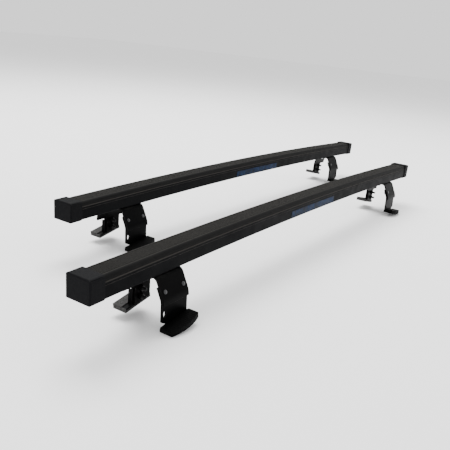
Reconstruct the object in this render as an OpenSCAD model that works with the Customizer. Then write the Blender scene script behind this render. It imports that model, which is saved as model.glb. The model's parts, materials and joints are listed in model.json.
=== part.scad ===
// Pair of arched roof cross bars on clamp feet, the rack that ski carriers bolt to.
// Millimetres, +Z up. X runs along the bars, Y from the front bar to the rear bar.
// The pair stands on its four long feet, and the origin is under its middle.

/* [Bars] */
// Length of a bar from one end cap's outer face to the other's
bar_len = 1200; // [1100:10:1300]
// Width of a bar, front to back
bar_w = 40; // [38:1:44]
// Height of a bar with its grip strip
bar_h = 32; // [31:1:35]
// Rise of a bar's middle above its ends
bar_rise = 10; // [6:1:14]
// Height of the steel tube under the grip strip
tube_h = 24; // [23:1:25]
// Wall of the steel tube
tube_wall = 2; // [1.6:0.2:2.4]
// Length of the skirt of an end cap
cap_len = 25; // [22:1:30]

/* [Set] */
// Distance between the two bars, front to rear
bar_gap = 250; // [240:10:700]
// Distance that the rear bar stands to the right of the front bar
bar_shift = 200; // [0:10:300]

/* [Feet] */
// Distance from the middle of a bar to the middle of a foot
foot_x = 450; // [420:5:480]
// Width of the long leg, along the bar
leg_w = 56; // [52:1:58]
// Depth of the foot's flange below the bar's underside
leg_drop = 69; // [66:1:76]
// Thickness of the steel sheet
sheet = 3; // [2.6:0.2:3.4]
// Slope of the long foot down towards the bar's end, in degrees
foot_slope = 8; // [4:1:12]
// Slope of the roof pad down towards the bar's end, in degrees
pad_slope = 10; // [4:1:12]
// Travel of a foot along its slot, each way
foot_travel = 40; // [20:5:50]
// Travel of the roof pad up and down, each way
pad_travel = 3.5; // [2:0.5:3.5]

/* [Hidden] */
BARS = ["front", "rear"];
SIDES = ["left", "right"];
BAR_PARTS = ["tube", "grip_strip", "label"];
FOOT_PARTS = [
    "saddle", "lower_leg", "leg_bolts", "leg_nuts", "foot_boot", "pad_carrier", "roof_pad",
    "carrier_bolts", "carrier_nuts", "clamp_bolts", "clamp_washers", "channel_nut"
];

STEEL = "#1b1c1f";
STRIP = "#3a3834";
PLASTIC = "#2b2a29";
RUBBER = "#151515";
PAD = "#3d3d3c";
ZINC = "#8c8f92";
BLUE = "#2b4a70";

// Clearance between pieces that are bolted or pressed together
gap = 0.1;
// Clearance between pieces that slide on each other
slide_gap = 0.3;
// Clearance round a shank in a plain hole
fit = 0.2;
// Overlap that makes a cut come out cleanly
over = 1;
// Sides of a hexagon
HEX = 6;
// Facets of a full turn of the bar's long arc, and the longest length of it made at once
ARC_FN = 5400;
arc_step = 0.65;
$fn = 48;

// The bar's underside is an arc of this radius, about a centre far below it
arc_r = (pow(bar_len / 2, 2) + pow(bar_rise, 2)) / (2 * bar_rise);

// Grip strip on top of the tube
strip_w = bar_w - 2;
strip_round = 6;
strip_wall = 2.4;
strip_low = tube_h + gap;

// Tube, with a rolled line along each side
tube_round = 2.5;
line_z = 19.4;
line_r = 0.6;

// End cap: a skirt over the bar's end and a plug into the tube
cap_skin = 1.2;
cap_wall = 3;
cap_round = 5;
cap_edge = 3;
cap_gap = 0.3;
plug_gap = 0.6;
plug_len = 40;
plug_wall = 2;
tube_end = bar_len / 2 - cap_wall - cap_gap;

// Label on the front side of each bar
label_left = 90;
label_right = 100;
label_low = 3;
label_high = 15;
label_thick = 0.3;

// Clamp bolts that pull a foot up against the bar, through the nut inside the tube
clamp_x = [-20, 6];
clamp_r = 4;
clamp_head_r = 6.5;
clamp_head_h = 4;
clamp_socket_r = 3;
clamp_top = 11;
washer_r = 8;
washer_h = 1;
nut_from = -34;
nut_to = 20;
nut_w = 22;
nut_h = 6;
slot_r = 4.4;

// Saddle: sheet that runs down the rear wall, under the bar and down the front arm [y, z]
flange_z = -slide_gap - sheet / 2;
wall_y = 23.5;
wall_low = -56;
wall_lean = [17, -24];
arm_top_y = -20;
kink = [-35, -32.5];
arm_tip = [-35.2, -39];
bend_r = 6;
arm_bend_r = 9;
kink_r = 25;
leg_half = leg_w / 2;
split_y = 8;
lean_r = 10;
wall_from = -12;
wall_to = 20;
shoulder_from = -20;
shoulder_to = 45;
shoulder_low = -29;
shoulder_r = 6;

// Lower leg, lapped behind the arm
arm_dir = unit([kink[0] - arm_top_y, kink[1] - flange_z]);
arm_back = [-arm_dir[1], arm_dir[0]];
lap = sheet + gap;
carrier_lap = sheet + slide_gap;
leg_top = [arm_top_y, flange_z] + arm_dir * 13 + arm_back * lap;
leg_kink = kink + [lap, -0.8];
leg_y = leg_kink[0] - 1.5;
leg_low = -leg_drop - 8;
notch_x = 14;
notch_tilt = 35;
leg_bolt_x = [-20, 20];
leg_bolt_at = [arm_top_y, flange_z] + arm_dir * 22;
leg_bolt_r = 2;
leg_bolt_head_r = 3.3;
leg_nut_r = 4;
leg_nut_h = 3;
eye_x = 22;
eye_z = -53;
eye_r = 2.8;
eye_long = 4;

// Foot flange that slopes down to the outside, with its rubber boot
foot_from = -30;
foot_to = 28;
foot_deep = 19;
foot_bulge = 5;
boot_skin = 1.5;
boot_under = 4;
boot_gap = 0.4;
boot_back = 0.5;

// Pad carrier behind the saddle's rear wall, with a flange back from its foot
carrier_y = wall_y + carrier_lap;
carrier_front = carrier_y - sheet / 2;
carrier_from = -14;
carrier_to = 22.5;
carrier_top = -28;
carrier_low = -56.5;
return_top = -36;
return_deep = 8;
carrier_bolt_x = 8;
carrier_bolt_z = [-48.5, -35.5];
carrier_bolt_r = 2.5;
carrier_nut_r = 4.4;
carrier_nut_h = 3.5;
carrier_bolt_out = 10;
carrier_head_r = 4.6;
carrier_head_h = 2.2;
flange_from = -15.5;
flange_to = 34.5;
flange_rear = 48;
pad_wrap = 33.6;
pad_skin = 1.5;
pad_under = 3.5;

// The two bars, set so that the pair's middle is over the origin
boot_front = foot_deep + foot_bulge + boot_skin - leg_y;
pad_rear = flange_rear + pad_skin;
pair_y = (boot_front - pad_rear) / 2;
bar_y = [pair_y - bar_gap / 2, pair_y + bar_gap / 2];
bar_x = [-bar_shift / 2, bar_shift / 2];

// Height of the bar's arc above the ground that the boots' outer edges stand on
foot_turn = asin(foot_x / arc_r);
boot_edge = turn([foot_to + boot_skin, -sheet / 2 - boot_under], -foot_slope) - [0, leg_drop];
arc_z = sin(foot_turn) * boot_edge[0] - cos(foot_turn) * (arc_r + boot_edge[1]);

function unit(v) = v / norm(v);
function turn(v, a) = [v[0] * cos(a) - v[1] * sin(a), v[0] * sin(a) + v[1] * cos(a)];
function cross_z(u, v) = u[0] * v[1] - u[1] * v[0];

// Arc that rounds the corner b of the path a, b, c with radius r, in n steps
function corner(a, b, c, r, n = 6) =
    let (
        u = unit(a - b),
        v = unit(c - b),
        half = acos(u * v) / 2,
        centre = b + unit(u + v) * r / sin(half),
        from = b + u * r / tan(half) - centre,
        sweep = (180 - 2 * half) * (cross_z(u, v) > 0 ? -1 : 1)
    )
    [for (i = [0 : n]) centre + turn(from, sweep * i / n)];

// Path through the points p, with each inner corner rounded by its radius
function rounded(p, radii) = [
    p[0],
    for (i = [1 : len(p) - 2]) each corner(p[i - 1], p[i], p[i + 1], radii[i - 1]),
    p[len(p) - 1]
];

function heading(p, i) = unit(p[min(i + 1, len(p) - 1)] - p[max(i - 1, 0)]);
function beside(p, i, d) = p[i] + turn(heading(p, i), 90) * d;

// Sheet metal that follows a path in the plane across the bar, from x0 to x1 along the bar
module bent_sheet(path, x0, x1) {
    last = len(path) - 1;
    outline = [
        for (i = [0 : last]) beside(path, i, sheet / 2),
        for (i = [last : -1 : 0]) beside(path, i, -sheet / 2)
    ];
    translate([x0, 0, 0])
        rotate([90, 0, 90])
            linear_extrude(x1 - x0)
                polygon(outline);
}

// Box between two opposite corners
module block(low, high) {
    translate(low)
        cube(high - low);
}

// Rectangle with round corners, between two opposite corners
module round_rect(low, high, r) {
    translate(low + [r, 0])
        square(high - low - [2 * r, 0]);
    translate(low + [0, r])
        square(high - low - [0, 2 * r]);
    for (x = [low[0] + r, high[0] - r], y = [low[1] + r, high[1] - r])
        translate([x, y])
            circle(r);
}

// Rod along Z between two heights
module rod(r, z0, z1) {
    translate([0, 0, z0])
        cylinder(z1 - z0, r, r);
}

// Slot along X with round ends, cut along Z between two heights
module slot(from, to, r, z0, z1) {
    for (x = [from, to])
        translate([x, 0, 0])
            rod(r, z0, z1);
    block([from, -r, z0], [to, r, z1]);
}

// Section [y, z] swept along the bar's arc, so far to the left and right of its middle
module along_bar(to_left, to_right) {
    translate([0, 0, arc_z])
        rotate([90, 0, 0]) {
            half_arc(asin(to_left / arc_r))
                children();
            mirror([1, 0, 0])
                half_arc(asin(to_right / arc_r))
                    children();
        }
}

// Section swept to the left from the middle, in short lengths end to end
module half_arc(sweep) {
    for (from = [0 : arc_step : sweep])
        rotate_extrude(angle = min(arc_step, sweep - from), start = 90 + from, $fn = ARC_FN)
            translate([arc_r, 0])
                rotate(-90)
                    children();
}

// Frame at a distance from the bar's middle: X outwards, Z square to the bar's underside
module on_bar(distance, side) {
    translate([0, 0, arc_z])
        rotate([0, side * asin(distance / arc_r), 0])
            translate([0, 0, arc_r])
                mirror([side < 0 ? 1 : 0, 0, 0])
                    children();
}

// Frame of one of the two bars
module on_roof(i) {
    translate([bar_x[i], bar_y[i], 0])
        children();
}

// Steel tube, open below each foot for the clamp bolts
module tube() {
    color(STEEL)
        difference() {
            along_bar(tube_end, tube_end)
                difference() {
                    round_rect([-bar_w / 2, 0], [bar_w / 2, tube_h], tube_round);
                    round_rect(
                        [tube_wall - bar_w / 2, tube_wall],
                        [bar_w / 2 - tube_wall, tube_h - tube_wall],
                        tube_round / 2
                    );
                    for (y = [-bar_w / 2, bar_w / 2])
                        translate([y, line_z])
                            circle(line_r);
                }
            for (side = [-1, 1])
                on_bar(foot_x, side)
                    slot(clamp_x[0] - foot_travel, clamp_x[1] + foot_travel, slot_r,
                        -over, tube_wall + over);
        }
}

// Ribbed-underneath grip strip with round shoulders, on top of the tube
module grip_strip() {
    half = strip_w / 2;
    color(STRIP)
        along_bar(tube_end, tube_end)
            difference() {
                union() {
                    translate([-half, strip_low])
                        square([strip_w, bar_h - strip_round - strip_low]);
                    translate([strip_round - half, strip_low])
                        square([strip_w - 2 * strip_round, bar_h - strip_low]);
                    for (y = [strip_round - half, half - strip_round])
                        translate([y, bar_h - strip_round])
                            circle(strip_round);
                }
                translate([-half - over, strip_low - strip_round])
                    square([strip_w + 2 * over, strip_round]);
                for (side = [-1, 1])
                    translate([side < 0 ? strip_wall * 2 - half : strip_wall / 2, strip_low - over])
                        square([half - 2.5 * strip_wall, bar_h - strip_wall - strip_low + over]);
            }
}

module label() {
    color(BLUE)
        along_bar(label_left, label_right)
            translate([-bar_w / 2 - label_thick - gap / 2, label_low])
                square([label_thick, label_high - label_low]);
}

// Moulded end cap; X is 0 at its outer face
module end_cap() {
    low = -cap_skin - cap_gap;
    high = bar_h + cap_skin + cap_gap;
    half = bar_w / 2 + cap_skin + cap_gap;
    color(PLASTIC) {
        difference() {
            intersection() {
                rotate([90, 0, -90])
                    linear_extrude(cap_len)
                        round_rect([-half, low], [half, high], cap_round);
                translate([0, 0, low - over])
                    linear_extrude(high - low + 2 * over)
                        cap_side([-half, half]);
                rotate([90, 0, 0])
                    translate([0, 0, -half - over])
                        linear_extrude(2 * half + 2 * over)
                            cap_side([low, high]);
            }
            block([-cap_len - over, -bar_w / 2 - cap_gap, -cap_gap],
                [-cap_wall, bar_w / 2 + cap_gap, bar_h + cap_gap]);
        }
        difference() {
            inner = bar_w / 2 - tube_wall - plug_gap;
            block([-plug_len, -inner, tube_wall + plug_gap],
                [-cap_wall, inner, tube_h - tube_wall - plug_gap]);
            block([-plug_len - over, plug_wall - inner, tube_wall + plug_gap + plug_wall],
                [-cap_wall, inner - plug_wall, tube_h - tube_wall - plug_gap - plug_wall]);
        }
    }
}

// Side view of the cap, round at its outer end
module cap_side(span) {
    translate([-cap_len, span[0]])
        square([cap_len - cap_edge, span[1] - span[0]]);
    translate([-cap_len, span[0] + cap_edge])
        square([cap_len, span[1] - span[0] - 2 * cap_edge]);
    for (y = [span[0] + cap_edge, span[1] - cap_edge])
        translate([-cap_edge, y])
            circle(cap_edge);
}

// Frame of a plate at a height on the foot, which falls outwards by a slope in degrees
module sloped(height, slope) {
    translate([0, 0, height])
        rotate([0, slope, 0])
            children();
}

// Frame on the front arm at the leg bolts: Z points out of the arm's front face
module on_arm() {
    translate([0, leg_bolt_at[0], leg_bolt_at[1]])
        rotate([atan2(arm_back[0], -arm_back[1]), 0, 0])
            children();
}

// Each leg bolt's place on the arm
module leg_bolt_places() {
    on_arm()
        for (x = leg_bolt_x)
            translate([x, 0, 0])
                children();
}

// Each carrier bolt's place: Z points to the front, from the middle of the rear wall
module carrier_bolt_places() {
    for (z = carrier_bolt_z)
        translate([carrier_bolt_x, wall_y, z])
            rotate([90, 0, 0])
                children();
}

// Outline [x, z] of the saddle's rear wall: a wide shoulder over a narrow wall
module wall_outline() {
    translate([shoulder_from, shoulder_low])
        square([shoulder_to - shoulder_from, over - shoulder_low]);
    polygon([
        [wall_from, over],
        [wall_from, wall_low - wall_from * tan(pad_slope)],
        [wall_to, wall_low - wall_to * tan(pad_slope)],
        [wall_to, over]
    ]);
    difference() {
        translate([wall_to, shoulder_low - shoulder_r])
            square(shoulder_r);
        translate([wall_to + shoulder_r, shoulder_low - shoulder_r])
            circle(shoulder_r);
    }
}

// Bent sheet under the bar, with the front arm and the rear wall
module saddle() {
    low = wall_low - bend_r;
    path = rounded(
        [
            [wall_y, low], [wall_y, wall_lean[1]], [wall_lean[0], flange_z],
            [arm_top_y, flange_z], kink, arm_tip
        ],
        [lean_r, bend_r, arm_bend_r, kink_r]
    );
    color(STEEL)
        difference() {
            bent_sheet(path, -leg_half, shoulder_to);
            block([leg_half, arm_tip[0] - sheet, low], [shoulder_to + over, split_y, over]);
            translate([0, wall_y + bend_r, 0])
                rotate([90, 0, 0])
                    linear_extrude(wall_y + bend_r - split_y)
                        difference() {
                            translate([-leg_half - over, low - over])
                                square([leg_half + shoulder_to + 2 * over, 2 * over - low]);
                            wall_outline();
                        }
            for (x = clamp_x)
                translate([x, 0, 0])
                    rod(clamp_r + fit, flange_z - sheet, over);
            leg_bolt_places()
                rod(leg_bolt_r + fit, -sheet, sheet);
            translate([carrier_bolt_x, wall_y + sheet, 0])
                rotate([90, 90, 0])
                    slot(-carrier_bolt_z[1] - pad_travel, -carrier_bolt_z[0] + pad_travel,
                        carrier_bolt_r + fit, 0, 2 * sheet);
        }
}

// Plan of the foot's flange, grown on its outside and cut off at the rear
module foot_plan(grow, rear) {
    half = (foot_to - foot_from) / 2;
    round_r = (pow(half, 2) + pow(foot_bulge, 2)) / (2 * foot_bulge);
    front = leg_y - foot_deep - foot_bulge;
    intersection() {
        translate([foot_from - grow, front - grow])
            square([2 * half + 2 * grow, rear - front + grow]);
        translate([foot_from + half, front + round_r])
            circle(round_r + grow, $fn = 180);
    }
}

// Long leg, lapped behind the arm, with an eye and a sloped flange at its foot
module lower_leg() {
    path = rounded([leg_top, leg_kink, [leg_y, leg_low]], [kink_r - lap]);
    rear = leg_y + sheet / 2;
    color(STEEL) {
        difference() {
            bent_sheet(path, -leg_half, leg_half);
            leg_bolt_places()
                rod(leg_bolt_r + fit, -lap - sheet, over);
            translate([eye_x, leg_y + sheet, eye_z])
                rotate([90, 90, 0])
                    slot(-eye_long / 2, eye_long / 2, eye_r, 0, 2 * sheet);
            sloped(-leg_drop, foot_slope) {
                block([-leg_w, leg_y - sheet, -leg_w], [leg_w, rear + sheet, 0]);
                translate([notch_x, 0, 0])
                    rotate([0, -notch_tilt, 0])
                        block([0, leg_y - sheet, -leg_w], [leg_w, rear + sheet, 0]);
            }
        }
        sloped(-leg_drop, foot_slope)
            translate([0, 0, -sheet / 2])
                linear_extrude(sheet)
                    foot_plan(0, rear);
    }
}

// Rubber boot over the foot's flange
module foot_boot() {
    rear = leg_y - sheet / 2 - boot_back;
    color(RUBBER)
        sloped(-leg_drop, foot_slope)
            difference() {
                union() {
                    translate([0, 0, -sheet / 2 - boot_under])
                        linear_extrude(boot_under + sheet / 2)
                            foot_plan(boot_skin, leg_y + sheet / 2);
                    linear_extrude(sheet / 2 + boot_skin)
                        foot_plan(boot_skin, rear);
                }
                translate([0, 0, -sheet / 2 - gap])
                    linear_extrude(sheet + 2 * gap)
                        foot_plan(boot_gap, leg_y + 2 * sheet);
            }
}

// Two dome-headed bolts that hold the long leg behind the arm
module leg_bolts() {
    tail = lap + sheet / 2 + leg_nut_h + over;
    color(STEEL)
        leg_bolt_places() {
            rod(leg_bolt_r, -tail, sheet / 2 + gap);
            translate([0, 0, sheet / 2 + gap])
                intersection() {
                    rod(leg_bolt_head_r, 0, leg_bolt_head_r / 2);
                    translate([0, 0, -leg_bolt_head_r])
                        sphere(1.45 * leg_bolt_head_r);
                }
        }
}

// Hexagon nut with its bolt's hole, its face at z = 0
module hex_nut(r, h, bore) {
    difference() {
        cylinder(h, r, r, $fn = HEX);
        rod(bore, -over, h + over);
    }
}

module leg_nuts() {
    color(ZINC)
        leg_bolt_places()
            translate([0, 0, -lap - sheet / 2 - gap - leg_nut_h])
                hex_nut(leg_nut_r, leg_nut_h, leg_bolt_r + gap / 2);
}

// Angle plate behind the rear wall, with a return on its outer side and a sloped flange
module pad_carrier() {
    low = carrier_low - carrier_to * tan(pad_slope) - over;
    color(STEEL)
        difference() {
            union() {
                difference() {
                    union() {
                        block([carrier_from, carrier_front, low],
                            [carrier_to, carrier_front + sheet, carrier_top]);
                        block([carrier_to - sheet, carrier_front, low],
                            [carrier_to, carrier_front + return_deep, return_top]);
                    }
                    sloped(carrier_low, pad_slope)
                        block([-leg_w, 0, -leg_w], [leg_w, flange_rear, 0]);
                }
                sloped(carrier_low, pad_slope)
                    block([flange_from, carrier_front, -sheet / 2],
                        [flange_to, flange_rear, sheet / 2]);
            }
            carrier_bolt_places()
                rod(carrier_bolt_r + fit, -carrier_lap - sheet, 0);
        }
}

// Rubber pad under the carrier's flange and round its edges, which rests on the roof
module roof_pad() {
    color(PAD)
        sloped(carrier_low, pad_slope)
            difference() {
                union() {
                    block([flange_from - pad_skin, carrier_front, -sheet / 2 - pad_under],
                        [flange_to + pad_skin, flange_rear + pad_skin, sheet / 2]);
                    block([flange_from - pad_skin, pad_wrap, 0],
                        [flange_to + pad_skin, flange_rear + pad_skin, sheet / 2 + pad_skin]);
                }
                block([flange_from - gap, carrier_front - over, -sheet / 2 - gap],
                    [flange_to + gap, flange_rear + gap, sheet / 2 + gap]);
            }
}

// Two bolts through the carrier and the rear wall's slot, with long free ends
module carrier_bolts() {
    seat = -carrier_lap - sheet / 2 - gap;
    color(STEEL)
        carrier_bolt_places() {
            rod(carrier_bolt_r, seat, sheet / 2 + carrier_bolt_out);
            translate([0, 0, seat - carrier_head_h])
                cylinder(carrier_head_h, carrier_head_r, carrier_head_r, $fn = HEX);
        }
}

module carrier_nuts() {
    color(STEEL)
        carrier_bolt_places()
            translate([0, 0, sheet / 2 + slide_gap])
                hex_nut(carrier_nut_r, carrier_nut_h, carrier_bolt_r + gap / 2);
}

// Two socket-head bolts, up through the saddle and the tube's slot
module clamp_bolts() {
    seat = flange_z - sheet / 2 - washer_h - 2 * gap;
    color(ZINC)
        for (x = clamp_x)
            translate([x, 0, 0]) {
                rod(clamp_r, seat, clamp_top);
                difference() {
                    rod(clamp_head_r, seat - clamp_head_h, seat);
                    translate([0, 0, seat - clamp_head_h - over])
                        cylinder(clamp_head_h, clamp_socket_r, clamp_socket_r, $fn = HEX);
                }
            }
}

module clamp_washers() {
    low = flange_z - sheet / 2 - washer_h - gap;
    color(ZINC)
        for (x = clamp_x)
            translate([x, 0, 0])
                difference() {
                    rod(washer_r, low, low + washer_h);
                    rod(clamp_r + fit, low - over, low + washer_h + over);
                }
}

// Nut plate that slides inside the tube with the foot
module channel_nut() {
    low = tube_wall + slide_gap;
    color(ZINC)
        difference() {
            block([nut_from, -nut_w / 2, low], [nut_to, nut_w / 2, low + nut_h]);
            for (x = clamp_x)
                translate([x, 0, 0])
                    rod(clamp_r + gap / 2, low - over, low + nut_h + over);
        }
}

module foot_part(part) {
    if (part == "saddle") saddle();
    if (part == "lower_leg") lower_leg();
    if (part == "leg_bolts") leg_bolts();
    if (part == "leg_nuts") leg_nuts();
    if (part == "foot_boot") foot_boot();
    if (part == "pad_carrier") pad_carrier();
    if (part == "roof_pad") roof_pad();
    if (part == "carrier_bolts") carrier_bolts();
    if (part == "carrier_nuts") carrier_nuts();
    if (part == "clamp_bolts") clamp_bolts();
    if (part == "clamp_washers") clamp_washers();
    if (part == "channel_nut") channel_nut();
}

module bar_part(part) {
    if (part == "tube") tube();
    if (part == "grip_strip") grip_strip();
    if (part == "label") label();
}

for (i = [0, 1])
    on_roof(i) {
        for (part = BAR_PARTS)
            bar_part(part);
        for (j = [0, 1]) {
            on_bar(bar_len / 2, 2 * j - 1)
                    end_cap();
            for (part = FOOT_PARTS)
                on_bar(foot_x, 2 * j - 1)
                        foot_part(part);
        }
    }
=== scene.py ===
import json
import math

import bmesh
import bpy
from mathutils import Matrix, Vector


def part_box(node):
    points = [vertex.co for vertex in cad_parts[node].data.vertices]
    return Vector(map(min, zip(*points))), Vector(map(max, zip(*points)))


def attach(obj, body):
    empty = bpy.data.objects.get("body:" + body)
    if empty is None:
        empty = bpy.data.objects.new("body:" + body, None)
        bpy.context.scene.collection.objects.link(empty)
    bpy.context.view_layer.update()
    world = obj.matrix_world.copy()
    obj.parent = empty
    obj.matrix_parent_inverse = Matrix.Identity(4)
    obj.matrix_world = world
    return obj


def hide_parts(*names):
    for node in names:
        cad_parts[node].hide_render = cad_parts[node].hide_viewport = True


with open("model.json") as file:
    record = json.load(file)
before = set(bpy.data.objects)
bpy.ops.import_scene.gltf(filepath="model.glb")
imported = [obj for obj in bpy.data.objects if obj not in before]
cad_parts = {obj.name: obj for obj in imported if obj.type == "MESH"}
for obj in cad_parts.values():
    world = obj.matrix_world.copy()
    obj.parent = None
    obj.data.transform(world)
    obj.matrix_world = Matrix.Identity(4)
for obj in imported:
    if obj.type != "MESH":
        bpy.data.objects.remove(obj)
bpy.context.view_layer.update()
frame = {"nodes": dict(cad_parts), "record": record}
NODES = frame["nodes"]
RECORD = frame["record"]
BODY_OF = {n: b for b, ns in RECORD["behaviour"]["bodies"].items() for n in ns}
SLOT_OF = {s["node"]: s["material_slot"] for s in RECORD["subparts"]}
BARS, SIDES = ("front", "rear"), ("left", "right")
MM = 0.001
WELD = 2e-6  # distance at which a CAD mesh's split vertices are joined, in metres
SCENE = bpy.context.scene

# ---------------------------------------------------------------- the bars' and feet's frames
# Each bar's underside is an arc. Its radius follows from the bar's length and rise, and its
# centre from the tube's CAD box.
BAR_LEN, BAR_RISE, BAR_H, TUBE_H = 1.200, 0.010, 0.032, 0.024
FOOT_X = 0.450  # from a bar's middle to a foot's
ARC_R = ((BAR_LEN / 2) ** 2 + BAR_RISE ** 2) / (2 * BAR_RISE)


def arc_centre(bar):
    low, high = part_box(bar + "_tube")
    return Vector(((low.x + high.x) / 2, (low.y + high.y) / 2, high.z - TUBE_H - ARC_R))


CENTRE = {bar: arc_centre(bar) for bar in BARS}


def on_bar(bar, distance, side):
    """Frame at a distance from the bar's middle: X outwards, Z square to the bar's underside."""
    turn = Matrix.Rotation(side * math.asin(distance / ARC_R), 4, "Y")
    flip = Matrix.Diagonal((side, 1, 1, 1))
    return Matrix.Translation(CENTRE[bar]) @ turn @ Matrix.Translation((0, 0, ARC_R)) @ flip


# The front arm's line [y, z] in millimetres, and how far down it the leg bolts are
ARM_TOP, ARM_KINK, BOLT_DOWN = Vector((-20.0, -1.8)), Vector((-35.0, -32.5)), 22.0
ARM_DIR = (ARM_KINK - ARM_TOP).normalized()
ARM_AT = ARM_TOP + ARM_DIR * BOLT_DOWN
ARM_TURN = Matrix.Rotation(math.atan2(-ARM_DIR.y, -ARM_DIR.x), 4, "X")
ARM = Matrix.Translation((0, ARM_AT.x * MM, ARM_AT.y * MM)) @ ARM_TURN
# The rear wall's frame: Z points to the front
WALL = Matrix.Rotation(math.pi / 2, 4, "X")


def islands(bm):
    """The separate solids of a mesh, as lists of vertices."""
    seen, groups = set(), []
    for start in bm.verts:
        if start in seen:
            continue
        seen.add(start)
        group, todo = [], [start]
        while todo:
            v = todo.pop()
            group.append(v)
            for e in v.link_edges:
                w = e.other_vert(v)
                if w not in seen:
                    seen.add(w)
                    todo.append(w)
        groups.append(group)
    return groups


def solids(node, matrix):
    """Box of each of a CAD node's solids, in millimetres, in the frame of a matrix."""
    bm = bmesh.new()
    bm.from_mesh(NODES[node].data)
    bmesh.ops.remove_doubles(bm, verts=bm.verts, dist=WELD)
    back = matrix.inverted()
    boxes = []
    for group in islands(bm):
        pts = [back @ v.co / MM for v in group]
        boxes.append((Vector(map(min, zip(*pts))), Vector(map(max, zip(*pts)))))
    bm.free()
    return boxes


# ---------------------------------------------------------------- materials

class Look:
    """A material's node tree, built with short calls."""

    def __init__(self, name):
        self.mat = bpy.data.materials.new(name)
        self.mat.use_nodes = True
        self.tree = self.mat.node_tree
        self.bsdf = self.tree.nodes["Principled BSDF"]
        self.coord = self.tree.nodes.new("ShaderNodeTexCoord").outputs["Object"]

    def node(self, kind, **props):
        n = self.tree.nodes.new(kind)
        for k, v in props.items():
            setattr(n, k, v)
        return n

    def put(self, socket, value):
        if isinstance(value, bpy.types.NodeSocket):
            self.tree.links.new(value, socket)
        else:
            socket.default_value = value

    def turned(self, degrees):
        """The texture coordinate, turned about Z."""
        m = self.node("ShaderNodeMapping")
        self.put(m.inputs["Vector"], self.coord)
        m.inputs["Rotation"].default_value = (0, 0, math.radians(degrees))
        return m.outputs["Vector"]

    def noise(self, scale, detail=4.0, rough=0.55):
        n = self.node("ShaderNodeTexNoise")
        self.put(n.inputs["Vector"], self.coord)
        n.inputs["Scale"].default_value = scale
        n.inputs["Detail"].default_value = detail
        n.inputs["Roughness"].default_value = rough
        return n.outputs["Fac"]

    def voronoi(self, scale):
        n = self.node("ShaderNodeTexVoronoi")
        self.put(n.inputs["Vector"], self.coord)
        n.inputs["Scale"].default_value = scale
        return n.outputs["Distance"]

    def wave(self, period, vector=None):
        """Even bands along X, one each period in metres."""
        n = self.node("ShaderNodeTexWave", wave_type="BANDS", bands_direction="X")
        self.put(n.inputs["Vector"], vector or self.coord)
        n.inputs["Scale"].default_value = 2 * math.pi / (20 * period)
        n.inputs["Distortion"].default_value = 0.0
        return n.outputs["Fac"]

    def math(self, op, a, b=0.0):
        n = self.node("ShaderNodeMath", operation=op)
        self.put(n.inputs[0], a)
        self.put(n.inputs[1], b)
        return n.outputs[0]

    def ramp(self, fac, low, high, a=0.0, b=1.0):
        n = self.node("ShaderNodeMapRange")
        self.put(n.inputs["Value"], fac)
        for key, v in (("From Min", low), ("From Max", high), ("To Min", a), ("To Max", b)):
            n.inputs[key].default_value = v
        return n.outputs["Result"]

    def mix(self, fac, a, b):
        n = self.node("ShaderNodeMix", data_type="RGBA")
        self.put(n.inputs["Factor"], fac)
        self.put(n.inputs[6], a)
        self.put(n.inputs[7], b)
        return n.outputs[2]

    def edges(self, radius):
        """1 along sharp edges, 0 on flats."""
        bevel = self.node("ShaderNodeBevel", samples=4)
        bevel.inputs["Radius"].default_value = radius
        geo = self.node("ShaderNodeNewGeometry")
        dot = self.node("ShaderNodeVectorMath", operation="DOT_PRODUCT")
        self.put(dot.inputs[0], bevel.outputs["Normal"])
        self.put(dot.inputs[1], geo.outputs["Normal"])
        return self.ramp(dot.outputs["Value"], 0.995, 0.88)

    def upward(self, low=0.55, high=0.95):
        """1 where the surface faces up, where dust settles; also the mask of the bar steel's painted
        highlight.
        """
        geo = self.node("ShaderNodeNewGeometry")
        split = self.node("ShaderNodeSeparateXYZ")
        self.put(split.inputs[0], geo.outputs["Normal"])
        return self.ramp(split.outputs["Z"], low, high)

    def bump(self, height, distance, strength=1.0, normal=None):
        n = self.node("ShaderNodeBump")
        self.put(n.inputs["Height"], height)
        n.inputs["Distance"].default_value = distance
        n.inputs["Strength"].default_value = strength
        if normal is not None:
            self.put(n.inputs["Normal"], normal)
        return n.outputs["Normal"]

    def done(self, color, rough, normal=None, metallic=0.0, specular=0.5):
        self.put(self.bsdf.inputs["Base Color"], color)
        self.put(self.bsdf.inputs["Roughness"], rough)
        self.bsdf.inputs["Metallic"].default_value = metallic
        self.bsdf.inputs["Specular IOR Level"].default_value = specular
        if normal is not None:
            self.put(self.bsdf.inputs["Normal"], normal)
        return self.mat


def tone(v, warm=0.0):
    return (v * (1 + warm), v, v * (1 - warm), 1.0)


def times(color, k):
    """A colour made k times as light."""
    return tuple(v * k for v in color[:3]) + (1,)


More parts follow.
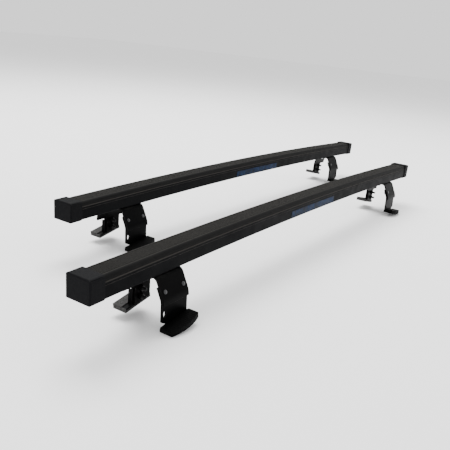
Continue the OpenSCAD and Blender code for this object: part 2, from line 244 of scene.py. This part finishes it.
def powder_coat(name, dark, light, rough, specular, ridge_highlight=0.0):
    """Black paint with orange peel, a little dust on top and thin, rubbed edges, and, when asked for, a
    painted highlight on faces that slope upwards.
    """
    n = Look(name)
    base = n.mix(n.ramp(n.noise(9.0, 6.0, 0.6), 0.3, 0.7), dark, light)
    dust = n.math("MULTIPLY", n.ramp(n.noise(70.0, 8.0, 0.7), 0.45, 0.8), n.upward())
    base = n.mix(n.math("MULTIPLY", dust, 0.25), base, tone(0.05, 0.05))
    worn = n.math("MULTIPLY", n.edges(0.0007), n.ramp(n.noise(120.0, 5.0, 0.7), 0.42, 0.62))
    base = n.mix(n.math("MULTIPLY", worn, 0.45), base, tone(0.07, 0.03))
    # Lighter on faces that slope upwards, such as the tube's rounded top edges: a painted highlight
    if ridge_highlight:
        base = n.mix(n.math("MULTIPLY", n.upward(0.25, 0.6), ridge_highlight), base, tone(0.045, 0.08))
    roughness = n.ramp(n.noise(35.0, 5.0), 0.3, 0.75, rough - 0.05, rough + 0.12)
    normal = n.bump(n.noise(700.0, 2.0), 0.00003, 0.6)
    normal = n.bump(n.noise(190.0, 2.0), 0.00008, 0.5, normal)
    return n.done(base, roughness, normal, specular=specular)


def plated(name, base, rough, metallic=1.0, specular=0.5):
    n = Look(name)
    blotch = n.ramp(n.noise(220.0, 6.0, 0.7), 0.3, 0.7)
    color = n.mix(blotch, times(base, 0.6), base)
    normal = n.bump(n.noise(1100.0, 2.0), 0.00002, 0.5)
    roughness = n.ramp(n.noise(140.0, 4.0), 0.3, 0.7, rough - 0.06, rough + 0.12)
    return n.done(color, roughness, normal, metallic=metallic, specular=specular)


def grained(name, dark, light, grain, depth, rough, specular, edge=0.3, ribs=None):
    """Moulded rubber or plastic with a pebbled grain and paler, rubbed edges."""
    n = Look(name)
    pebble = n.voronoi(1.0 / grain)
    color = n.mix(n.ramp(n.noise(260.0, 6.0, 0.7), 0.35, 0.68), dark, light)
    color = n.mix(n.ramp(pebble, 0.35, 0.75, 0.0, 0.55), color, times(dark, 0.45))
    color = n.mix(n.math("MULTIPLY", n.edges(0.0012), edge), color, times(light, 1.9))
    normal = n.bump(pebble, depth, 0.8)
    if ribs:
        normal = n.bump(n.wave(ribs), depth * 1.5, 0.8, normal)
    normal = n.bump(n.noise(1500.0, 3.0), depth * 0.3, 0.5, normal)
    roughness = n.ramp(pebble, 0.1, 0.7, rough - 0.06, rough + 0.08)
    return n.done(color, roughness, normal, specular=specular)


KNURL, KNURL_TILT = 0.0021, 35  # the grip strip's pattern: its pitch in metres and its slant


def strip_rubber():
    """Grip strip: matt brown-grey rubber, knurled across both ways, with dark smooth shoulders."""
    n = Look("grip_strip")
    left = n.wave(KNURL, n.turned(KNURL_TILT))
    right = n.wave(KNURL, n.turned(-KNURL_TILT))
    knurl = n.math("MULTIPLY", left, right)
    fleck = n.ramp(n.noise(420.0, 5.0, 0.75), 0.40, 0.66)
    flat = n.upward(0.93, 0.995)
    top = n.mix(fleck, (0.0082, 0.0077, 0.0064, 1), (0.0235, 0.0217, 0.0181, 1))
    # Darker in the knurl's grooves: painted shade in the recesses
    top = n.mix(n.ramp(knurl, 0.0, 0.45, 0.75, 0.0), top, (0.0070, 0.0066, 0.0058, 1))
    top = n.mix(n.ramp(n.noise(14.0, 4.0), 0.45, 0.75, 0.0, 0.35), top, (0.019, 0.018, 0.0156, 1))
    side = n.mix(n.ramp(n.noise(50.0, 4.0), 0.3, 0.7),
                 (0.0030, 0.0030, 0.0030, 1), (0.0048, 0.0047, 0.0045, 1))
    color = n.mix(flat, side, top)
    normal = n.bump(n.math("MULTIPLY", knurl, flat), 0.00025, 0.8)
    normal = n.bump(n.noise(1400.0, 3.0), 0.00005, 0.5, normal)
    return n.done(color, n.ramp(knurl, 0.0, 0.8, 0.62, 0.82), normal, specular=0.055)


def label_film():
    """Plain blue film, mottled and rubbed, in place of a sticker with lettering."""
    n = Look("label")
    deep, blue = (0.0016, 0.0042, 0.0125, 1), (0.0034, 0.0165, 0.0520, 1)
    bare = (0.0030, 0.0036, 0.0048, 1)
    film = n.mix(n.ramp(n.noise(150.0, 5.0, 0.65), 0.38, 0.60), deep, blue)
    film = n.mix(n.ramp(n.noise(60.0, 6.0, 0.7), 0.46, 0.66, 0.0, 0.75), film, bare)
    roughness = n.ramp(n.noise(90.0), 0.3, 0.7, 0.36, 0.5)
    return n.done(film, roughness, n.bump(n.noise(500.0, 2.0), 0.00002, 0.4), specular=0.035)


MATERIALS = {
    # The bar's steel gets the painted highlight on its upward-sloping faces at strength 0.65
    "bar_steel": powder_coat("bar_steel", (0.0014, 0.0016, 0.0021, 1), (0.0025, 0.0026, 0.0029, 1),
                             0.50, 0.024, 0.65),
    "foot_steel": powder_coat("foot_steel", (0.0006, 0.0006, 0.0007, 1), (0.0011, 0.0011, 0.0012, 1),
                              0.34, 0.020),
    "grip_strip": strip_rubber(),
    "label": label_film(),
    "cap_plastic": grained("cap_plastic", (0.0036, 0.0037, 0.0044, 1), (0.0060, 0.0060, 0.0067, 1),
                           0.0009, 0.00008, 0.62, 0.038, edge=0.4),
    "boot_rubber": grained("boot_rubber", tone(0.0007), tone(0.0013), 0.0014, 0.00014, 0.58, 0.03,
                           ribs=0.004),
    "pad_rubber": grained("pad_rubber", tone(0.022, 0.02), tone(0.050, 0.02), 0.0020, 0.00030,
                          0.80, 0.2, edge=0.2),
    "black_bolt": plated("black_bolt", (0.004, 0.004, 0.0042, 1), 0.38, metallic=0.0, specular=0.12),
    "rivet": plated("rivet", (0.060, 0.060, 0.062, 1), 0.30, metallic=1.0),
    "zinc": plated("zinc", (0.40, 0.41, 0.42, 1), 0.34),
}

# ---------------------------------------------------------------- mesh helpers


def link(name, mesh):
    ob = bpy.data.objects.new(name, mesh)
    SCENE.collection.objects.link(ob)
    return ob


def settled(ob):
    """The object with its modifiers applied."""
    graph = bpy.context.evaluated_depsgraph_get()
    mesh = bpy.data.meshes.new_from_object(ob.evaluated_get(graph))
    ob.modifiers.clear()
    ob.data = mesh
    return ob


def shade(mesh, degrees):
    mesh.polygons.foreach_set("use_smooth", [True] * len(mesh.polygons))
    mesh.set_sharp_from_angle(angle=math.radians(degrees))


def stand_in(ob, node):
    """ob replaces the CAD node: same body, slot and material."""
    ob.data.materials.clear()
    ob.data.materials.append(MATERIALS[SLOT_OF[node]])
    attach(ob, BODY_OF[node])
    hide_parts(node)


# Angles in degrees: below FLAT two faces are merged, above EDGE the edge between them is
# rounded, and above SHARP it is shaded as a crease
FLAT, EDGE, SHARP = 0.3, 32, 40


def eased(node, width, segments=3):
    """A copy of the node's shape with its edges rounded off, as on pressed sheet or moulded rubber."""
    mesh = NODES[node].data.copy()
    bm = bmesh.new()
    bm.from_mesh(mesh)
    bmesh.ops.remove_doubles(bm, verts=bm.verts, dist=WELD)
    bmesh.ops.dissolve_limit(bm, angle_limit=math.radians(FLAT), verts=bm.verts, edges=bm.edges)
    bm.to_mesh(mesh)
    bm.free()
    ob = link(node + "_look", mesh)
    bevel = ob.modifiers.new("ease", "BEVEL")
    bevel.width = width
    bevel.segments = segments
    bevel.limit_method = "ANGLE"
    bevel.angle_limit = math.radians(EDGE)
    settled(ob)
    shade(ob.data, SHARP)
    weigh = ob.modifiers.new("weigh", "WEIGHTED_NORMAL")
    weigh.keep_sharp = True
    weigh.weight = 80
    return settled(ob)


def revolve(bm, profile, at=(0, 0), steps=36):
    """Closed body of revolution about Z through at, from a profile of [r, z] in millimetres."""
    rings = []
    for r, z in profile:
        if r < 1e-6:
            rings.append([bm.verts.new((at[0], at[1], z))])
        else:
            rings.append([bm.verts.new((at[0] + r * math.cos(2 * math.pi * i / steps),
                                        at[1] + r * math.sin(2 * math.pi * i / steps), z))
                          for i in range(steps)])
    pairs = list(zip(rings, rings[1:]))
    if profile[0][0] > 1e-6:
        pairs.append((rings[-1], rings[0]))
    for a, b in pairs:
        for i in range(steps):
            j = (i + 1) % steps
            quad = [a[i % len(a)], a[j % len(a)], b[j % len(b)], b[i % len(b)]]
            quad = [v for k, v in enumerate(quad) if v not in quad[:k]]
            if len(quad) > 2:
                bm.faces.new(quad)


def thread(r, z0, z1, pitch, depth):
    """Profile of a screw thread from z0 up to z1."""
    n = max(2, int(abs(z1 - z0) / pitch))
    step = (z1 - z0) / n
    turns = [p for i in range(n) for p in ((r - depth, z0 + i * step), (r, z0 + (i + 0.5) * step))]
    return turns + [(r - depth, z1)]


def dome(r, z0, z1, steps=8):
    """Profile of a low dome from its rim at z0 to its top at z1."""
    angles = [math.pi / 2 * i / steps for i in range(steps + 1)]
    return [(r * math.cos(a), z0 + (z1 - z0) * math.sin(a)) for a in angles]


POINT = 0.01  # radius of a ring that closes a face at its middle


def hexagon(bm, r, z0, z1, bore, at=(0, 0), chamfer=(True, True), steps=48):
    """Hexagon nut or head, 2r across its corners, with a bore or without, chamfered below and above."""
    flat = r * math.cos(math.pi / 6)
    rim = flat * 0.97
    inner = bore or POINT
    angles = [2 * math.pi * i / steps for i in range(steps)]
    rings = []

    def ring(radius, height):
        rings.append([bm.verts.new((at[0] + radius(a) * math.cos(a), at[1] + radius(a) * math.sin(a),
                                    height(a))) for a in angles])

    def side(a):
        return flat / math.cos((a % (math.pi / 3)) - math.pi / 6)

    def drop(a):
        return (side(a) - rim) * 0.55

    ring(lambda a: inner, lambda a: z0)
    ring(lambda a: rim if chamfer[0] else side(a), lambda a: z0)
    ring(side, lambda a: z0 + (drop(a) if chamfer[0] else 0.02))
    ring(side, lambda a: z1 - (drop(a) if chamfer[1] else 0.02))
    ring(lambda a: rim if chamfer[1] else side(a), lambda a: z1)
    ring(lambda a: inner, lambda a: z1)
    for a, b in zip(rings, rings[1:] + rings[:1]):
        for i in range(steps):
            j = (i + 1) % steps
            bm.faces.new((a[i], a[j], b[j], b[i]))


def body_from(bm, name, matrix, degrees=35):
    """Object from a mesh built in millimetres in the frame of a matrix."""
    bmesh.ops.transform(bm, matrix=matrix @ Matrix.Scale(MM, 4), verts=bm.verts)
    bmesh.ops.recalc_face_normals(bm, faces=bm.faces)
    mesh = bpy.data.meshes.new(name)
    bm.to_mesh(mesh)
    bm.free()
    shade(mesh, degrees)
    return link(name, mesh)


def middle(low, high):
    return ((low.x + high.x) / 2, (low.y + high.y) / 2)


# ---------------------------------------------------------------- pieces
# Sizes in millimetres from here on

# Grip strip: its width and shoulders, where its ribbed top starts, the groove there, the ribs,
# and how many lengths its arc is made of
STRIP_W, SHOULDER_R, LIP, GROOVE, RIBS, RIB_H, STATIONS = 38.0, 6.0, 12.6, 0.55, 17, 0.28, 72

# Bolts: radius of the thread, its pitch and its depth
M4, M5, M8 = (2.0, 0.7, 0.25), (2.5, 0.8, 0.3), (4.0, 1.25, 0.45)
NUT_SLACK = 0.05
DOME_H, DOME_RIM = 1.485, 0.2
LEG_THREAD, CARRIER_THREAD = 5.0, 12.5
CARRIER_HEAD_R, CARRIER_HEAD_H, CARRIER_NUT_R = 4.6, 2.2, 4.4
CLAMP_HEAD_R, CLAMP_HEAD_H, CLAMP_NECK_R, CLAMP_NECK_H = 6.5, 4.0, 3.9, 3.0
KNURLS, KNURL_DEPTH, SOCKET_R, SOCKET_H = 36, 0.22, 2.6, 2.6
WASHER_R, WASHER_BORE, WASHER_EDGE = 8.0, 4.2, 0.15


def screw(size, z0, z1):
    """Profile of a thread of one of the sizes above."""
    r, pitch, depth = size
    return thread(r, z0, z1, pitch, depth)


def grip_strip(bar):
    """The strip swept along the bar's arc, with fine ribs along its top between smooth shoulders."""
    node = bar + "_grip_strip"
    half, low, top, rnd = STRIP_W / 2, TUBE_H / MM + 0.1, BAR_H / MM, SHOULDER_R
    shoulder = [(-half, low), (-half, top - rnd)]
    shoulder += [(-half + rnd - rnd * math.cos(a), top - rnd + rnd * math.sin(a))
                 for a in (math.pi / 2 * i / 8 for i in range(1, 9))]
    shoulder += [(-LIP, top), (-LIP + 0.25, top - GROOVE), (-LIP + 0.75, top - GROOVE)]
    section = list(shoulder)
    first = -LIP + 1.0
    pitch = -2 * first / RIBS
    for i in range(RIBS):
        x = first + i * pitch
        section += [(x, top - RIB_H), (x + 0.25 * pitch, top), (x + 0.75 * pitch, top)]
    section += [(-first, top - RIB_H)]
    section += [(-y, z) for y, z in reversed(shoulder)]
    bm = bmesh.new()
    turn = math.asin((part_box(node)[1].x - CENTRE[bar].x) / ARC_R)
    rings = []
    for k in range(STATIONS + 1):
        a = -turn + 2 * turn * k / STATIONS
        rings.append([bm.verts.new(((ARC_R / MM + z) * math.sin(a), y, (ARC_R / MM + z) * math.cos(a)))
                      for y, z in section])
    n = len(section)
    for a, b in zip(rings, rings[1:]):
        for i in range(n):
            bm.faces.new((a[i], a[(i + 1) % n], b[(i + 1) % n], b[i]))
    bm.faces.new(rings[0])
    bm.faces.new(rings[-1])
    stand_in(body_from(bm, node + "_look", Matrix.Translation(CENTRE[bar]), 28), node)


def leg_bolts(pre, foot):
    node = pre + "leg_bolts"
    bm = bmesh.new()
    for low, high in solids(node, foot @ ARM):
        seat, head = high.z - DOME_H, (high.x - low.x) / 2
        profile = [(0, low.z)] + screw(M4, low.z, low.z + LEG_THREAD)
        profile += [(M4[0] - NUT_SLACK, seat), (head, seat)] + dome(head, seat + DOME_RIM, high.z)
        revolve(bm, profile, middle(low, high))
    stand_in(body_from(bm, node + "_look", foot @ ARM), node)


def leg_nuts(pre, foot):
    node = pre + "leg_nuts"
    bm = bmesh.new()
    for low, high in solids(node, foot @ ARM):
        hexagon(bm, (high.x - low.x) / 2, low.z, high.z, M4[0] + NUT_SLACK, middle(low, high))
    stand_in(body_from(bm, node + "_look", foot @ ARM), node)


def carrier_bolts(pre, foot):
    node = pre + "carrier_bolts"
    bm = bmesh.new()
    for low, high in solids(node, foot @ WALL):
        at, seat, start = middle(low, high), low.z + CARRIER_HEAD_H, high.z - CARRIER_THREAD
        hexagon(bm, CARRIER_HEAD_R, low.z, seat, 0, at, (True, False))
        profile = [(0, seat - 0.4), (2.4, seat - 0.4), (2.4, start)]
        profile += screw(M5, start, high.z - 0.6) + [(1.9, high.z), (0, high.z)]
        revolve(bm, profile, at, 28)
    stand_in(body_from(bm, node + "_look", foot @ WALL), node)


def carrier_nuts(pre, foot):
    node = pre + "carrier_nuts"
    bm = bmesh.new()
    for low, high in solids(node, foot @ WALL):
        bore = M5[0] + NUT_SLACK
        hexagon(bm, CARRIER_NUT_R, low.z, high.z, bore, middle(low, high), (False, True))
    stand_in(body_from(bm, node + "_look", foot @ WALL), node)


def clamp_bolt(bm, low, high):
    """Socket-head bolt: a knurled head with a hexagon socket in it, threaded above."""
    at, seat, steps = middle(low, high), low.z + CLAMP_HEAD_H, 2 * KNURLS
    angles = [2 * math.pi * i / steps for i in range(steps)]
    hexed = [SOCKET_R / math.cos((a % (math.pi / 3)) - math.pi / 6) for a in angles]
    knurled = [CLAMP_HEAD_R - KNURL_DEPTH * (i % 2) for i in range(steps)]
    profile = [
        ([POINT] * steps, low.z + SOCKET_H + 0.3),
        ([0.98 * r for r in hexed], low.z + SOCKET_H),
        (hexed, low.z + 0.25),
        ([r + 0.3 for r in hexed], low.z),
        ([CLAMP_HEAD_R - 0.7] * steps, low.z),
        (knurled, low.z + 0.6),
        (knurled, seat - 0.4),
        ([CLAMP_HEAD_R - 0.35] * steps, seat),
        ([CLAMP_NECK_R] * steps, seat),
        ([CLAMP_NECK_R] * steps, seat + CLAMP_NECK_H),
    ]
    profile += [([r] * steps, z) for r, z in screw(M8, seat + CLAMP_NECK_H, high.z - 0.8)]
    profile += [([3.1] * steps, high.z), ([POINT] * steps, high.z)]
    rings = [[bm.verts.new((at[0] + r * math.cos(a), at[1] + r * math.sin(a), z))
              for r, a in zip(radii, angles)] for radii, z in profile]
    for a, b in zip(rings, rings[1:]):
        for i in range(steps):
            j = (i + 1) % steps
            bm.faces.new((a[i], a[j], b[j], b[i]))
    bm.faces.new(rings[0])
    bm.faces.new(rings[-1])


def clamp_bolts(pre, foot):
    node = pre + "clamp_bolts"
    bm = bmesh.new()
    for low, high in solids(node, foot):
        clamp_bolt(bm, low, high)
    stand_in(body_from(bm, node + "_look", foot, 30), node)


def clamp_washers(pre, foot):
    node = pre + "clamp_washers"
    bm = bmesh.new()
    for low, high in solids(node, foot):
        z0, z1, rim, edge = low.z, high.z, WASHER_R, WASHER_EDGE
        profile = [(WASHER_BORE, z0), (rim - edge, z0), (rim, z0 + edge),
                   (rim, z1 - edge), (rim - edge, z1), (WASHER_BORE, z1)]
        revolve(bm, profile, middle(low, high), 48)
    stand_in(body_from(bm, node + "_look", foot), node)


# How far each piece's edges are rounded off
EASED = {
    "saddle": 0.4, "lower_leg": 0.4, "foot_boot": 0.9,
    "pad_carrier": 0.4, "roof_pad": 0.8, "channel_nut": 0.5,
}
CAP_EASED, CAP_STEPS = 1.3, 4
PIECES = (leg_bolts, leg_nuts, carrier_bolts, carrier_nuts, clamp_bolts, clamp_washers)

for bar in BARS:
    grip_strip(bar)
    for j, side in enumerate(SIDES):
        pre = bar + "_" + side + "_"
        foot = on_bar(bar, FOOT_X, 2 * j - 1)
        for part, width in EASED.items():
            stand_in(eased(pre + part, width * MM), pre + part)
        stand_in(eased(pre + "end_cap", CAP_EASED * MM, CAP_STEPS), pre + "end_cap")
        for piece in PIECES:
            piece(pre, foot)
    for part in ("tube", "label"):
        ob = NODES[bar + "_" + part]
        ob.data.materials.clear()
        ob.data.materials.append(MATERIALS[SLOT_OF[bar + "_" + part]])

# ---------------------------------------------------------------- camera, light, floor


# The camera's turns in degrees and its lens, and its place in metres from the middle of the
# line between the ends of the front bar's underside
PITCH, YAW, ROLL, LENS = 17.142, 32.071, 6.0, 48.48
EYE = Vector((-1.0729, -0.4931, 0.3199))


def make_camera():
    """Camera off the front bar's left end, looking down along it."""
    pitch, yaw, roll = math.radians(PITCH), math.radians(YAW), math.radians(ROLL)
    ahead = Vector((math.cos(yaw) * math.cos(pitch), math.sin(yaw) * math.cos(pitch), -math.sin(pitch)))
    right = ahead.cross(Vector((0, 0, 1))).normalized()
    up = right.cross(ahead)
    cam = link("Camera", bpy.data.cameras.new("Camera"))
    cam.data.sensor_width = 36.0
    cam.data.lens = LENS
    cam.data.clip_start = 0.01
    across = right * math.cos(roll) + up * math.sin(roll)
    upright = up * math.cos(roll) - right * math.sin(roll)
    m = Matrix((across, upright, -ahead)).transposed().to_4x4()
    ends = CENTRE["front"].z + math.sqrt(ARC_R ** 2 - (BAR_LEN / 2) ** 2)
    m.translation = Vector((CENTRE["front"].x, CENTRE["front"].y, ends)) + EYE
    cam.matrix_world = m
    SCENE.camera = cam


def area(name, loc, target, size, power):
    light = bpy.data.lights.new(name, "AREA")
    light.energy = power
    light.size = size
    ob = link(name, light)
    ob.location = loc
    ob.rotation_euler = (Vector(target) - Vector(loc)).to_track_quat("-Z", "Y").to_euler()


def floor():
    s, z = 12.0, -0.0005
    mesh = bpy.data.meshes.new("floor")
    mesh.from_pydata([(-s, -s, z), (s, -s, z), (s, s, z), (-s, s, z)], [], [(0, 1, 2, 3)])
    ob = link("floor", mesh)
    n = Look("floor")
    paper = n.noise(3.0, 3.0)
    color = n.mix(paper, tone(0.93), tone(0.96))
    mesh.materials.append(n.done(color, n.ramp(paper, 0.0, 1.0, 0.85, 0.95), specular=0.1))


def surround(strength):
    world = bpy.data.worlds.new("World")
    SCENE.world = world
    world.use_nodes = True
    back = world.node_tree.nodes["Background"]
    back.inputs["Color"].default_value = (1, 1, 1, 1)
    back.inputs["Strength"].default_value = strength


make_camera()
area("key", (0.6, 1.1, 3.0), (0.0, 0.0, 0.0), 2.4, 200)
area("fill", (-2.4, -0.4, 1.6), (-0.4, 0.0, 0.08), 1.0, 12)
area("rim", (2.6, -1.5, 1.0), (0.6, -0.1, 0.05), 1.0, 14)
surround(1.3)
floor()
